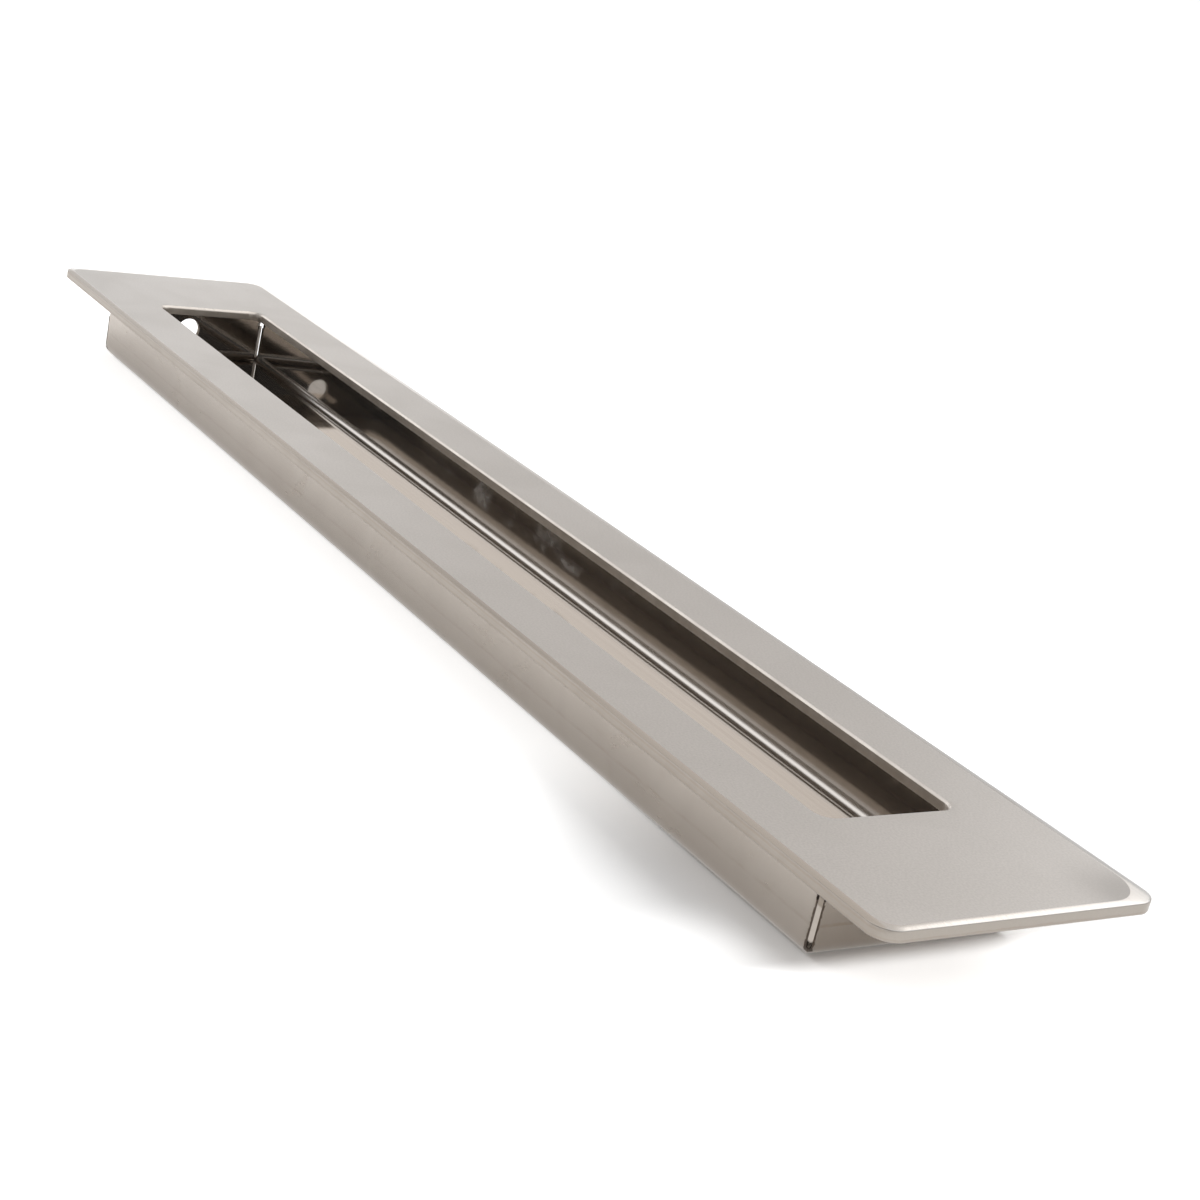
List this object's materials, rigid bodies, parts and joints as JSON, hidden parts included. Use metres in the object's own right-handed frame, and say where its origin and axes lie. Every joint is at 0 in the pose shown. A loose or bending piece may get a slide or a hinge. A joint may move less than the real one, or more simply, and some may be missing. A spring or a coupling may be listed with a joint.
{
  "type": "recessed pull handle",
  "caption": "Flush pull handle for a sliding door: a flat metal face plate with a long finger mouth over a shallow folded tray that is let into the door.",
  "frame": {"origin": "middle of the tray's flat underside, on which the handle stands when it is not fitted", "axes": "+X along the handle, +Y across it, +Z out of the door; the door's face is the plate's underside at z = 10.8 mm"},
  "size_m": [0.25, 0.04, 0.0123],
  "materials": {
    "satin_plate": "fine satin, with a polished bevel",
    "bright_sheet": "bright rolled sheet, near mirror inside"
  },
  "bodies": {
    "root": {"face_plate": "satin_plate", "tray": "bright_sheet"}
  },
  "joints": []
}
